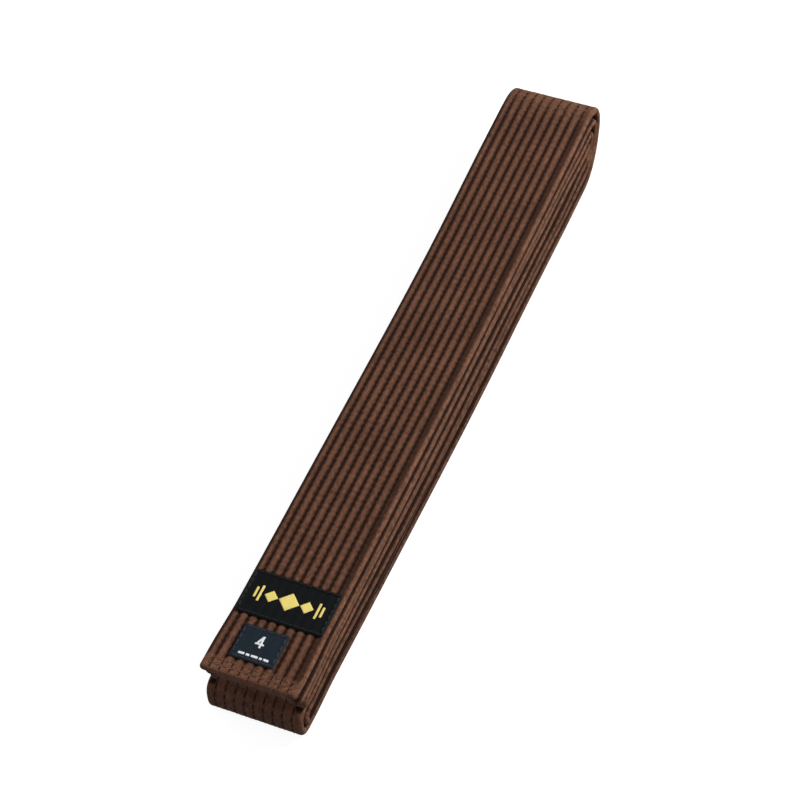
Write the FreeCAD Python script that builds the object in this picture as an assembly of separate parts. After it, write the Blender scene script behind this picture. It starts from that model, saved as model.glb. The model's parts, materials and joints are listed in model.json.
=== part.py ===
import FreeCAD, Part

import math
import os

V = FreeCAD.Vector
X_AXIS = V(1, 0, 0)
Y_AXIS = V(0, 1, 0)

# A flat packet of a cotton martial arts belt, halved three times so that eight runs lie on each other.
# X is across the belt, Y along the packet (-Y is the end that carries the labels), Z is up from the floor.
# The belt is followed from its labelled end: run 1 (top), round the outside of the far end to run 8
# (bottom), near fold to run 5, far fold to run 4, near fold to run 3, far fold to run 6, near fold to
# run 7, far fold to run 2, where the plain end lies under the labelled one.

# Driving dimensions, in millimetres
BELT_WIDTH = 40.0
BELT_THICKNESS = 4.1
RUN_GAP = 0.3
RUN_COUNT = 8
PACKET_LENGTH = 350.0
COVER_WALL = 0.9
PLY_COUNT = 3
EDGE_RADIUS = 1.3
FIT = 0.05

# Rows of stitching that quilt the belt into ribs
ROW_COUNT = 9
ROW_PITCH = 4.0
GROOVE_WIDTH = 0.7
GROOVE_DEPTH = 0.5
THREAD_WIDTH = 0.45
THREAD_HEIGHT = 0.3

# Stretches measured from the labelled end, which is the packet's near face
LABEL_BEND = (70.0, 94.0)
PLAIN_BEND = (130.0, 154.0)
PLAIN_END_SETBACK = 1.5
NEAR_FOLD_SETBACK = 3.5

# Labels on the top face near the labelled end
LABEL_WIDTH = 37.2
LABEL_START = 28.0
LABEL_LENGTH = 21.0
TAG_WIDTH = 19.0
TAG_CENTRE_X = -2.3
TAG_START = 8.0
TAG_LENGTH = 16.0
LABEL_THICKNESS = 0.45
TAG_THICKNESS = 0.35
LABEL_CORNER = 1.0
MOTIF_HEIGHT = 0.2
STITCH_LENGTH = 2.0
STITCH_GAP = 0.9
STITCH_WIDTH = 0.4
STITCH_HEIGHT = 0.25
STITCH_INSET = 0.9
END_STITCH_INSETS = (2.6, 5.0)

# Derived places
PITCH = BELT_THICKNESS + RUN_GAP
PACKET_HEIGHT = (RUN_COUNT - 1) * PITCH + BELT_THICKNESS
FAR_CENTRE_Y = PACKET_LENGTH / 2 - PACKET_HEIGHT / 2
NEAR_Y = -PACKET_LENGTH / 2
HALF_WIDTH = BELT_WIDTH / 2
HALF_THICKNESS = BELT_THICKNESS / 2
CORE_HALF_WIDTH = HALF_WIDTH - COVER_WALL - FIT
CORE_THICKNESS = BELT_THICKNESS - 2 * (COVER_WALL + FIT)
PLY_THICKNESS = (CORE_THICKNESS - (PLY_COUNT - 1) * FIT) / PLY_COUNT
TOP_Z = PACKET_HEIGHT


def run_z(number):
    """Height of the middle of a run; run 1 is the top one and run 8 lies on the floor."""
    return HALF_THICKNESS + (RUN_COUNT - number) * PITCH


def fold_radius(first, second):
    """Middle radius of the fold that joins two runs."""
    return abs(run_z(first) - run_z(second)) / 2


def fold_z(first, second):
    return (run_z(first) + run_z(second)) / 2


def near_fold_y(first, second):
    """Y of a near fold's centre, so that its outside stands just behind the labelled end."""
    return NEAR_Y + NEAR_FOLD_SETBACK + fold_radius(first, second) + HALF_THICKNESS


def row_positions():
    """X of each stitch row across the belt."""
    first = -(ROW_COUNT - 1) / 2 * ROW_PITCH
    return [first + index * ROW_PITCH for index in range(ROW_COUNT)]


def at_section(points, y, z):
    """Section points (x, t) as vectors, t measured up from the middle of the belt."""
    return [V(x, y, z + t) for x, t in points]


def rounded_wire(half_width, half_height, radius, y, z, notches=()):
    """Closed section outline with round corners; a notch is cut at each x in both long sides."""
    straight = half_width - radius
    side = half_height - radius
    slant = radius * (1 - math.sqrt(0.5))
    groove = GROOVE_WIDTH / 2
    top = [(-straight, half_height)]
    for x in notches:
        top += [(x - groove, half_height), (x - groove, half_height - GROOVE_DEPTH)]
        top += [(x + groove, half_height - GROOVE_DEPTH), (x + groove, half_height)]
    top.append((straight, half_height))
    bottom = [(-x, -t) for x, t in top]

    def lines(points):
        places = at_section(points, y, z)
        return [Part.makeLine(a, b) for a, b in zip(places, places[1:])]

    def corner(start, middle, end):
        return Part.Arc(*at_section((start, middle, end), y, z)).toShape()

    bend_x, bend_t = half_width - slant, half_height - slant
    edges = lines(top)
    edges.append(corner((straight, half_height), (bend_x, bend_t), (half_width, side)))
    edges += lines([(half_width, side), (half_width, -side)])
    edges.append(corner((half_width, -side), (bend_x, -bend_t), (straight, -half_height)))
    edges += lines(bottom)
    edges.append(corner((-straight, -half_height), (-bend_x, -bend_t), (-half_width, -side)))
    edges += lines([(-half_width, -side), (-half_width, side)])
    edges.append(corner((-half_width, side), (-bend_x, bend_t), (-straight, half_height)))
    return Part.Wire(edges)


def face_of(*wires):
    """A face from an outline and, if given, the outline of its hole."""
    return Part.makeFace(list(wires), "Part::FaceMakerBullseye")


def cover_outline(y, z):
    return rounded_wire(HALF_WIDTH, HALF_THICKNESS, EDGE_RADIUS, y, z, row_positions())


def cavity_outline(y, z):
    radius = EDGE_RADIUS - COVER_WALL
    return rounded_wire(HALF_WIDTH - COVER_WALL, HALF_THICKNESS - COVER_WALL, radius, y, z)


def cover_face(y, z):
    """Section of the woven cover, a flat tube with a groove under each stitch row."""
    return face_of(cover_outline(y, z), cavity_outline(y, z))


def rectangle(left, right, low, high, y, z):
    """Flat face with its corners at the given section coordinates."""
    ring = at_section([(left, low), (right, low), (right, high), (left, high)], y, z)
    return Part.Face(Part.makePolygon(ring + ring[:1]))


def ply_faces(y, z):
    """Section of the plies of cotton batting that fill the cover."""
    faces = []
    for index in range(PLY_COUNT):
        low = -CORE_THICKNESS / 2 + index * (PLY_THICKNESS + FIT)
        faces.append(rectangle(-CORE_HALF_WIDTH, CORE_HALF_WIDTH, low, low + PLY_THICKNESS, y, z))
    return faces


def thread_faces(y, z):
    """Section of every thread, one in each groove of both faces."""
    half = THREAD_WIDTH / 2
    floor = HALF_THICKNESS - GROOVE_DEPTH + FIT
    faces = []
    for x in row_positions():
        for low, high in ((floor, floor + THREAD_HEIGHT), (-floor - THREAD_HEIGHT, -floor)):
            faces.append(rectangle(x - half, x + half, low, high, y, z))
    return faces


def straight(faces, start, end):
    """Solids drawn from sections at y=start along the belt to y=end."""
    return [face.extrude(Y_AXIS * (end - start)) for face in faces]


def straight_pieces(number, start, end):
    """Cover, plies and threads of one straight stretch of a run from y=start to y=end."""
    z = run_z(number)
    cover = straight([cover_face(start, z)], start, end)
    return cover, straight(ply_faces(start, z), start, end), straight(thread_faces(start, z), start, end)


def closed_end_pieces(number, start, end):
    """As straight_pieces, with the cover turned in and closed across y=start."""
    z = run_z(number)
    inside = start + COVER_WALL
    solid = straight([face_of(cover_outline(start, z))], start, end)[0]
    cavity = straight([face_of(cavity_outline(inside, z))], inside, end)[0]
    plies = straight(ply_faces(inside + FIT, z), inside + FIT, end)
    return [solid.cut(cavity)], plies, straight(thread_faces(inside, z), inside, end)


def fold_pieces(first, second, centre_y, far):
    """Cover, plies and threads of the half turn that joins two runs, at the far or the near end."""
    lower = max(first, second)
    z = run_z(lower)
    centre = V(0, centre_y, fold_z(first, second))
    axis = X_AXIS if far else X_AXIS * -1

    def turned(faces):
        return [face.revolve(centre, axis, 180) for face in faces]

    cover = turned([cover_face(centre_y, z)])
    return cover, turned(ply_faces(centre_y, z)), turned(thread_faces(centre_y, z))


def rounded_plate(width, length, thickness, corner, centre_x, start, z):
    """Flat plate with round corners standing on height z, from y=start along +Y."""
    box = Part.makeBox(width, length, thickness, V(centre_x - width / 2, start, z))
    upright = [e for e in box.Edges if abs(e.tangentAt(e.FirstParameter).z) > 0.99]
    return box.makeFillet(corner, upright)


def bar(width, length, height, centre_x, centre_y, z):
    return Part.makeBox(width, length, height, V(centre_x - width / 2, centre_y - length / 2, z))


def stitch_line(start, end, z, along_x):
    """Separate stitches in a row between two points (x, y)."""
    span = (end[0] - start[0]) if along_x else (end[1] - start[1])
    count = max(1, round(span / (STITCH_LENGTH + STITCH_GAP)))
    step = span / count
    length = step - STITCH_GAP
    stitches = []
    for index in range(count):
        middle = (index + 0.5) * step
        if along_x:
            stitches.append(bar(length, STITCH_WIDTH, STITCH_HEIGHT, start[0] + middle, start[1], z))
        else:
            stitches.append(bar(STITCH_WIDTH, length, STITCH_HEIGHT, start[0], start[1] + middle, z))
    return stitches


def stitch_frame(width, length, centre_x, start, z):
    """Stitches along the four sides of a rectangle, inset from its edge."""
    left, right = centre_x - width / 2 + STITCH_INSET, centre_x + width / 2 - STITCH_INSET
    low, high = start + STITCH_INSET, start + length - STITCH_INSET
    rows = stitch_line((left, low), (right, low), z, True)
    rows += stitch_line((left, high), (right, high), z, True)
    rows += stitch_line((left, low + STITCH_GAP), (left, high - STITCH_GAP), z, False)
    rows += stitch_line((right, low + STITCH_GAP), (right, high - STITCH_GAP), z, False)
    return rows


def motif_solids(z):
    """Raised weave of the big label: three plain diamonds with a bar on each side."""
    middle_y = NEAR_Y + LABEL_START + LABEL_LENGTH / 2
    solids = []
    for offset, half in ((-8.0, 2.6), (0.0, 4.2), (8.0, 2.6)):
        ring = [V(offset - half, middle_y, z), V(offset, middle_y - half, z)]
        ring += [V(offset + half, middle_y, z), V(offset, middle_y + half, z)]
        solids.append(Part.Face(Part.makePolygon(ring + ring[:1])).extrude(V(0, 0, MOTIF_HEIGHT)))
    for side in (-1, 1):
        solids.append(bar(0.9, 9.0, MOTIF_HEIGHT, side * 12.6, middle_y, z))
        solids.append(bar(0.9, 6.0, MOTIF_HEIGHT, side * 14.4, middle_y, z))
    return solids


def numeral_four(z):
    """Size numeral 4, woven into the tag."""
    centre_x, centre_y = TAG_CENTRE_X, NEAR_Y + TAG_START + TAG_LENGTH * 0.6
    stroke, height, width = 1.1, 5.6, 3.8
    bottom = centre_y - height / 2
    upright = bar(stroke, height, MOTIF_HEIGHT, centre_x + width * 0.2, centre_y, z)
    crossbar = bar(width, stroke, MOTIF_HEIGHT, centre_x - 0.2, bottom + height * 0.3, z)
    slope_top = (centre_x + width * 0.2 + stroke / 2, bottom + height)
    slope_low = (centre_x - 0.2 - width / 2, bottom + height * 0.3)
    ring = [V(*slope_low, z), V(slope_low[0] + stroke * 1.3, slope_low[1], z)]
    ring += [V(*slope_top, z), V(slope_top[0] - stroke * 1.3, slope_top[1], z)]
    slope = Part.Face(Part.makePolygon(ring + ring[:1])).extrude(V(0, 0, MOTIF_HEIGHT))
    return upright.fuse([crossbar, slope]).removeSplitter()


def tag_bars(z):
    """Plain short bars in a line under the numeral."""
    y = NEAR_Y + TAG_START + TAG_LENGTH * 0.2
    return [bar(1.6, 0.7, MOTIF_HEIGHT, TAG_CENTRE_X + 2.5 * index, y, z) for index in range(-2, 3)]


def end_stitches(number, start):
    """Rows that close a turned-in belt end, on the top face between the grooves."""
    z = run_z(number) + HALF_THICKNESS
    rib = ROW_PITCH - GROOVE_WIDTH - 2 * FIT
    stitches = []
    for inset in END_STITCH_INSETS:
        for x in [row - ROW_PITCH / 2 for row in row_positions()] + [row_positions()[-1] + ROW_PITCH / 2]:
            stitches.append(bar(rib * 0.6, STITCH_WIDTH, RUN_GAP / 2, x, start + inset, z))
    return stitches


NODES = {}


def keep(name, solids):
    """Adds solids to a node; a node of several solids is written as one compound."""
    NODES.setdefault(name, []).extend(solids)


def keep_stretch(pieces, cover, core, threads):
    """Files the three materials of one stretch of belt under their node names."""
    for name, solids in zip((cover, core, threads), pieces):
        keep(name, solids)


def build_lower_stack():
    # The inner near fold lies inside the outer one, round the same centre.
    near = near_fold_y(5, 8)
    for number in (5, 6, 7, 8):
        pieces = straight_pieces(number, near, FAR_CENTRE_Y)
        keep_stretch(pieces, f"cover_run_{number}", f"core_run_{number}", "stitching_lower_runs")
    for pair, name in (((5, 8), "outer"), ((6, 7), "inner")):
        pieces = fold_pieces(*pair, near, False)
        keep_stretch(pieces, f"cover_near_fold_{name}", "core_near_folds_lower",
                     "stitching_near_folds_lower")


def build_upper_stack():
    plain_bend_end = NEAR_Y + PLAIN_BEND[1]
    for number in (3, 4):
        pieces = straight_pieces(number, near_fold_y(3, 4), FAR_CENTRE_Y)
        keep_stretch(pieces, f"cover_run_{number}", f"core_run_{number}", "stitching_upper_runs")
    for number in (1, 2):
        pieces = straight_pieces(number, plain_bend_end, FAR_CENTRE_Y)
        keep_stretch(pieces, f"cover_run_{number}_far", f"core_run_{number}_far",
                     "stitching_upper_runs")
    pieces = fold_pieces(3, 4, near_fold_y(3, 4), False)
    keep_stretch(pieces, "cover_near_fold_upper", "core_near_fold_upper",
                 "stitching_near_fold_upper")


def build_far_folds():
    for upper in (1, 2, 3, 4):
        lower = RUN_COUNT + 1 - upper
        pieces = fold_pieces(upper, lower, FAR_CENTRE_Y, True)
        keep_stretch(pieces, f"cover_far_fold_{upper}_{lower}", "core_far_folds",
                     "stitching_far_folds")


def build_plain_end():
    end = NEAR_Y + PLAIN_END_SETBACK
    bend = [NEAR_Y + distance for distance in PLAIN_BEND]
    keep_stretch(closed_end_pieces(2, end, bend[0]), "cover_plain_end", "core_plain_end",
                 "stitching_plain_end")
    keep_stretch(straight_pieces(1, NEAR_Y + LABEL_BEND[1], bend[0]), "cover_run_1_middle",
                 "core_run_1_middle", "stitching_plain_end")
    for number in (1, 2):
        keep_stretch(straight_pieces(number, *bend), f"cover_plain_bend_run_{number}",
                     "core_plain_bend", "stitching_plain_bend")
    keep("plain_end_closing_stitches", end_stitches(2, end))


def build_label_end():
    bend = [NEAR_Y + distance for distance in LABEL_BEND]
    keep_stretch(closed_end_pieces(1, NEAR_Y, bend[0]), "cover_label_end", "core_label_end",
                 "stitching_label_end")
    keep_stretch(straight_pieces(1, *bend), "cover_label_bend", "core_label_bend",
                 "stitching_label_bend")
    keep("label_end_closing_stitches", end_stitches(1, NEAR_Y))


def build_labels():
    label_top = TOP_Z + LABEL_THICKNESS
    tag_top = TOP_Z + TAG_THICKNESS
    label_start, tag_start = NEAR_Y + LABEL_START, NEAR_Y + TAG_START
    keep("woven_label", [rounded_plate(LABEL_WIDTH, LABEL_LENGTH, LABEL_THICKNESS, LABEL_CORNER,
                                       0, label_start, TOP_Z)])
    keep("label_motif", motif_solids(label_top))
    keep("label_stitching", stitch_frame(LABEL_WIDTH, LABEL_LENGTH, 0, label_start, label_top))
    keep("size_tag", [rounded_plate(TAG_WIDTH, TAG_LENGTH, TAG_THICKNESS, LABEL_CORNER / 2,
                                    TAG_CENTRE_X, tag_start, TOP_Z)])
    keep("size_numeral", [numeral_four(tag_top)])
    keep("size_tag_bars", tag_bars(tag_top))
    keep("size_tag_stitching", stitch_frame(TAG_WIDTH, TAG_LENGTH, TAG_CENTRE_X, tag_start, tag_top))


def main():
    os.makedirs("parts", exist_ok=True)
    build_lower_stack()
    build_upper_stack()
    build_far_folds()
    build_plain_end()
    build_label_end()
    build_labels()
    for name, solids in NODES.items():
        shape = solids[0] if len(solids) == 1 else Part.makeCompound(solids)
        if not shape.isValid():
            raise ValueError(f"{name} is not a valid shape")
        shape.exportStep(f"parts/{name}.step")
        print(f"{name}: {len(shape.Solids)} solids, {shape.Volume / 1000:.2f} cm3")
    print(f"{len(NODES)} nodes, packet {BELT_WIDTH:.0f} x {PACKET_LENGTH:.0f} x {PACKET_HEIGHT:.1f} mm")


main()
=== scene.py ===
"""A brown quilted cotton martial arts belt, folded into a flat packet of eight runs.

The belt is followed from its labelled end: run 1 on top, the outer far fold, run 8 on the floor, the
near fold up to run 5, the innermost far fold, run 4, the upper near fold, run 3, a far fold, run 6, the
inner near fold, run 7, the last far fold and run 2, where the plain end lies under the labelled one.
X is across the belt, +Y is towards the far folds and Z is up. Sizes here are in millimetres.
"""
import json
import logging
import math
from collections.abc import Sequence
from dataclasses import dataclass, field
from enum import Enum

import bpy
import numpy as np
from mathutils import Matrix, Vector


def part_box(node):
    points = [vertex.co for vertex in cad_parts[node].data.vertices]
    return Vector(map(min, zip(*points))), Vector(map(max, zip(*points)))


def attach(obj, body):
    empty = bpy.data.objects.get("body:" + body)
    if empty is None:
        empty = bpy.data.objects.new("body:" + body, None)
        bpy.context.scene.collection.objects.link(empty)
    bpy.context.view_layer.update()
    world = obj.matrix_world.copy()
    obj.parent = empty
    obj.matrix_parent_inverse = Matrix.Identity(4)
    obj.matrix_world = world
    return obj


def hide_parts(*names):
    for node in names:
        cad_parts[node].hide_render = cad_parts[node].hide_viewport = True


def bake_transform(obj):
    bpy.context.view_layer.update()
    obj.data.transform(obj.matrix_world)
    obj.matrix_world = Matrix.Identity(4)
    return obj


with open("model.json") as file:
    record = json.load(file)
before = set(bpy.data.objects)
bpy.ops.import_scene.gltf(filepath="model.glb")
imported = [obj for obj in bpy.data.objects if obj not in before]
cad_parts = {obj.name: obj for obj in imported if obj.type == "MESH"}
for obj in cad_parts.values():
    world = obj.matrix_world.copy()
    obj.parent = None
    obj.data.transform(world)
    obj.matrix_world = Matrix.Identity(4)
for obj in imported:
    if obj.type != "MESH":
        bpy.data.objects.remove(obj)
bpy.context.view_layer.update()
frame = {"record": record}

MM = 0.001
RUNS = 8
LOG = logging.getLogger("belt")


class Body(Enum):
    """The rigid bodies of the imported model."""

    LOWER = "lower_stack"
    UPPER = "upper_stack"
    PLAIN_END = "plain_end"
    LABEL_END = "label_end"


class Slot(Enum):
    """The record's material slots."""

    COVER = "cover_cloth"
    CORE = "batting_core"
    QUILTING = "quilting_thread"
    LABEL = "label_cloth"
    GOLD = "gold_thread"
    LABEL_THREAD = "black_thread"
    TAG = "tag_cloth"
    WHITE = "white_thread"
    TAG_THREAD = "tag_thread"


class PacketEnd(Enum):
    """The two ends of the packet, as a sign along Y."""

    NEAR = -1
    FAR = 1


def linear(hex_colour: str) -> tuple[float, float, float, float]:
    """Turns an sRGB hex colour into linear RGBA.

    Args:
        hex_colour: Colour such as "#5a3c2e".

    Returns:
        Linear red, green and blue with alpha 1.
    """
    values = [int(hex_colour[i:i + 2], 16) / 255 for i in (1, 3, 5)]
    red, green, blue = (v / 12.92 if v <= 0.04045 else ((v + 0.055) / 1.055) ** 2.4 for v in values)
    return red, green, blue, 1.0


def add_node(tree: bpy.types.NodeTree, kind: str, inputs: dict | None = None,
             **settings) -> bpy.types.Node:
    """Adds one shader node.

    Args:
        tree: Node tree that gets the node.
        kind: Blender's node type name, without its "ShaderNode".
        inputs: For each input, a value or the output socket that feeds it.
        **settings: Properties set on the node itself.

    Returns:
        The new node.
    """
    node = tree.nodes.new("ShaderNode" + kind)
    for name, value in settings.items():
        setattr(node, name, value)
    for name, value in (inputs or {}).items():
        if isinstance(value, bpy.types.NodeSocket):
            tree.links.new(value, node.inputs[name])
        else:
            node.inputs[name].default_value = value
    return node


def band_scale(period_mm: float) -> float:
    """Scale of a Wave texture with bands along X whose period is period_mm in metre coordinates."""
    return 2 * math.pi / 20 / (period_mm * MM)


def noise_scale(size_mm: float) -> float:
    """Scale of a Noise texture whose patches are about size_mm in metre coordinates."""
    return 1 / (size_mm * MM)


def new_material(name: str) -> tuple[bpy.types.Material, bpy.types.NodeTree]:
    """Makes an empty node material.

    Args:
        name: The material's real name and how it is made.

    Returns:
        The material and its empty node tree.
    """
    material = bpy.data.materials.new(name)
    material.use_nodes = True
    material.node_tree.nodes.clear()
    return material, material.node_tree


@dataclass(frozen=True)
class CottonDrill:
    """The cover: dyed cotton drill, woven warp-faced, so its face is matt with a fine diagonal rib.

    Painted shade darkens it in the quilted grooves, at the selvages and between the runs; it is paler
    and warmer on the crests and along the folded selvages, which rub.
    """

    crest: str = "#5f4031"
    painted_shade: str = "#1e0f09"
    rubbed: str = "#7d5743"
    twill_mm: float = 1.0
    yarn_mm: float = 0.45
    fleck_mm: float = 1.7
    blotch_mm: float = 22.0
    roughness: float = 0.92

    def material(self) -> bpy.types.Material:
        """Builds the cover's material on the belt's own coordinates, metres across and along it."""
        material, tree = new_material("cotton_drill_woven_dyed_brown")
        belt = add_node(tree, "UVMap", uv_map="belt").outputs["UV"]
        # The "groove" value carries all the painted shade: the grooves, the selvages, between the runs and
        # low down.
        groove = add_node(tree, "Attribute", attribute_name="groove").outputs["Fac"]
        rub = add_node(tree, "Attribute", attribute_name="rub").outputs["Fac"]
        # Real drill has about twice as many lines to the centimetre; they are drawn coarser to show.
        slanted = add_node(tree, "Mapping", {"Vector": belt, "Rotation": (0, 0, math.radians(58))})
        twill = add_node(tree, "TexWave", {
            "Vector": slanted.outputs["Vector"], "Scale": band_scale(self.twill_mm),
            "Distortion": 1.4, "Detail": 2.0, "Detail Scale": 1.5})
        drawn = add_node(tree, "Mapping", {"Vector": belt, "Scale": (1.0, 0.16, 1.0)})
        yarn = add_node(tree, "TexNoise", {
            "Vector": drawn.outputs["Vector"], "Scale": noise_scale(self.yarn_mm), "Detail": 2.0})
        fleck = add_node(tree, "TexNoise", {
            "Vector": belt, "Scale": noise_scale(self.fleck_mm), "Detail": 3.0, "Roughness": 0.7})
        blotch = add_node(tree, "TexNoise", {
            "Vector": belt, "Scale": noise_scale(self.blotch_mm), "Detail": 2.0})
        shade_amount = add_node(tree, "MapRange", {
            "Value": groove, "From Min": 0.05, "From Max": 0.66})
        # Dyed brown, mixed towards the painted shade colour where the "groove" value is high.
        dyed = add_node(tree, "Mix", {
            "Factor": shade_amount.outputs["Result"], 6: linear(self.crest), 7: linear(self.painted_shade)},
            data_type="RGBA")
        worn = add_node(tree, "Math", {0: rub, 1: fleck.outputs["Fac"]}, operation="MULTIPLY")
        rubbed = add_node(tree, "Mix", {
            "Factor": worn.outputs["Value"], 6: dyed.outputs[2], 7: linear(self.rubbed)},
            data_type="RGBA")
        mottled = add_node(tree, "Math", {
            0: fleck.outputs["Fac"], 1: yarn.outputs["Fac"]}, operation="ADD")
        patchy = add_node(tree, "Math", {
            0: blotch.outputs["Fac"], 1: 0.5, 2: mottled.outputs["Value"]}, operation="MULTIPLY_ADD")
        tone = add_node(tree, "MapRange", {
            "Value": patchy.outputs["Value"], "From Min": 0.9, "From Max": 1.6,
            "To Min": 0.45, "To Max": 1.55})
        toned = add_node(tree, "HueSaturation", {
            "Color": rubbed.outputs[2], "Value": tone.outputs["Result"]})
        relief = add_node(tree, "Math", {
            0: twill.outputs["Fac"], 1: yarn.outputs["Fac"]}, operation="ADD")
        bump = add_node(tree, "Bump", {
            "Height": relief.outputs["Value"], "Strength": 0.55, "Distance": 0.12 * MM})
        roughness = add_node(tree, "MapRange", {
            "Value": fleck.outputs["Fac"], "To Min": self.roughness - 0.08, "To Max": self.roughness + 0.05})
        shader = add_node(tree, "BsdfPrincipled", {
            "Base Color": toned.outputs["Color"], "Roughness": roughness.outputs["Result"],
            "Normal": bump.outputs["Normal"], "Specular IOR Level": 0.1,
            "Sheen Weight": 0.05, "Sheen Roughness": 0.5, "Sheen Tint": linear(self.rubbed)})
        add_node(tree, "OutputMaterial", {"Surface": shader.outputs["BSDF"]})
        return material


@dataclass(frozen=True)
class SpunThread:
    """Sewing or weaving thread: plied strands whose twist gives a slight broken sheen."""

    name: str
    colour: str
    shade: str
    ply_mm: float = 0.35
    roughness: float = 0.7
    sheen: float = 0.1
    specular: float = 0.25

    def material(self) -> bpy.types.Material:
        """Builds the thread's material from its twist, a slanted band at ply_mm."""
        material, tree = new_material(self.name)
        place = add_node(tree, "TexCoord").outputs["Object"]
        slanted = add_node(tree, "Mapping", {
            "Vector": place, "Rotation": (0, 0, math.radians(35))})
        twist = add_node(tree, "TexWave", {
            "Vector": slanted.outputs["Vector"], "Scale": band_scale(self.ply_mm),
            "Distortion": 0.6, "Detail": 1.0})
        colour = add_node(tree, "Mix", {
            "Factor": twist.outputs["Fac"], 6: linear(self.shade), 7: linear(self.colour)},
            data_type="RGBA")
        bump = add_node(tree, "Bump", {
            "Height": twist.outputs["Fac"], "Strength": 0.5, "Distance": 0.05 * MM})
        shader = add_node(tree, "BsdfPrincipled", {
            "Base Color": colour.outputs[2], "Roughness": self.roughness,
            "Normal": bump.outputs["Normal"], "Specular IOR Level": self.specular,
            "Sheen Weight": self.sheen, "Sheen Roughness": 0.4})
        add_node(tree, "OutputMaterial", {"Surface": shader.outputs["BSDF"]})
        return material


@dataclass(frozen=True)
class DamaskTape:
    """Polyester label tape, damask woven: close picks across it give a smooth, faintly lined face."""

    name: str
    colour: str
    shade: str
    pick_mm: float = 0.5
    roughness: float = 0.6

    def material(self) -> bpy.types.Material:
        """Builds the tape's material from its picks and ends, with a soft cloudy tone."""
        material, tree = new_material(self.name)
        place = add_node(tree, "TexCoord").outputs["Object"]
        # Real picks lie closer; they are drawn coarser to show.
        ends = add_node(tree, "TexWave", {
            "Vector": place, "Scale": band_scale(self.pick_mm), "Distortion": 0.5, "Detail": 1.0})
        picks = add_node(tree, "TexWave", {
            "Vector": place, "Scale": band_scale(self.pick_mm), "Distortion": 0.5, "Detail": 1.0},
            bands_direction="Y")
        weave = add_node(tree, "Math", {
            0: ends.outputs["Fac"], 1: picks.outputs["Fac"]}, operation="MULTIPLY")
        cloud = add_node(tree, "TexNoise", {
            "Vector": place, "Scale": noise_scale(3.5), "Detail": 3.0})
        blend = add_node(tree, "Math", {
            0: weave.outputs["Value"], 1: cloud.outputs["Fac"]}, operation="MULTIPLY")
        colour = add_node(tree, "Mix", {
            "Factor": blend.outputs["Value"], 6: linear(self.shade), 7: linear(self.colour)},
            data_type="RGBA")
        bump = add_node(tree, "Bump", {
            "Height": weave.outputs["Value"], "Strength": 0.5, "Distance": 0.06 * MM})
        shader = add_node(tree, "BsdfPrincipled", {
            "Base Color": colour.outputs[2], "Roughness": self.roughness,
            "Normal": bump.outputs["Normal"], "Specular IOR Level": 0.12,
            "Sheen Weight": 0.02, "Sheen Roughness": 0.4})
        add_node(tree, "OutputMaterial", {"Surface": shader.outputs["BSDF"]})
        return material


@dataclass(frozen=True)
class CottonBatting:
    """The core: undyed needled cotton, soft and lumpy with loose fibres."""

    colour: str = "#cfc4ae"
    shade: str = "#a89a80"
    tuft_mm: float = 2.5

    def material(self) -> bpy.types.Material:
        """Builds the batting's material from tufts of fibre."""
        material, tree = new_material("cotton_batting_needled_undyed")
        place = add_node(tree, "TexCoord").outputs["Object"]
        tufts = add_node(tree, "TexNoise", {
            "Vector": place, "Scale": noise_scale(self.tuft_mm), "Detail": 4.0, "Roughness": 0.75})
        colour = add_node(tree, "Mix", {
            "Factor": tufts.outputs["Fac"], 6: linear(self.shade), 7: linear(self.colour)},
            data_type="RGBA")
        bump = add_node(tree, "Bump", {
            "Height": tufts.outputs["Fac"], "Strength": 0.8, "Distance": 0.3 * MM})
        shader = add_node(tree, "BsdfPrincipled", {
            "Base Color": colour.outputs[2], "Roughness": 0.95, "Normal": bump.outputs["Normal"],
            "Specular IOR Level": 0.1, "Sheen Weight": 0.3, "Sheen Roughness": 0.6})
        add_node(tree, "OutputMaterial", {"Surface": shader.outputs["BSDF"]})
        return material


FINISHES = {
    Slot.COVER: CottonDrill(),
    Slot.CORE: CottonBatting(),
    Slot.QUILTING: SpunThread("polycotton_lockstitch_thread_brown", "#3d2418", "#170a05",
                              roughness=0.95, sheen=0.0, specular=0.03),
    Slot.LABEL: DamaskTape("polyester_damask_label_black", "#0d1318", "#030406"),
    Slot.GOLD: SpunThread("rayon_satin_weft_old_gold", "#eedf86", "#c9b052", roughness=0.45),
    Slot.LABEL_THREAD: SpunThread("polyester_sewing_thread_black", "#1b1c22", "#050506"),
    Slot.TAG: DamaskTape("polyester_damask_tag_slate", "#2c3a45", "#111a22"),
    Slot.WHITE: SpunThread("rayon_satin_weft_white", "#eef0f2", "#b9bfc6", roughness=0.45),
    Slot.TAG_THREAD: SpunThread("polyester_sewing_thread_slate", "#323e48", "#141b21"),
}


@dataclass
class Wardrobe:
    """Holds each finish's material, made once when it is first asked for."""

    made: dict[Slot, bpy.types.Material] = field(default_factory=dict)

    def material(self, slot: Slot) -> bpy.types.Material:
        """Returns the slot's material."""
        if slot not in self.made:
            self.made[slot] = FINISHES[slot].material()
        return self.made[slot]


def node_box(node: str) -> tuple[Vector, Vector]:
    """Lowest and highest corner of a CAD node, in millimetres."""
    low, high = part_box(node)
    return Vector(low) / MM, Vector(high) / MM


def joint_place(name: str) -> Vector:
    """A point on a joint's axis, in millimetres."""
    joints = {joint["name"]: joint for joint in frame["record"]["behaviour"]["joints"]}
    return Vector(joints[name]["pos_m"]) / MM


def smooth(t: np.ndarray | float) -> np.ndarray | float:
    """Rises smoothly from 0 to 1 as t goes from 0 to 1."""
    t = np.clip(t, 0, 1)
    return t * t * (3 - 2 * t)


@dataclass(frozen=True)
class LooseGap:
    """Extra room between two runs, where a stiff fold springs open or a layer has slackened.

    Attributes:
        upper: The upper run of the two.
        place: Where along the packet the gap is widest.
        height: Extra room there, in millimetres.
        reach: How far on either side it closes.
    """

    upper: int
    place: float
    height: float
    reach: float


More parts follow.
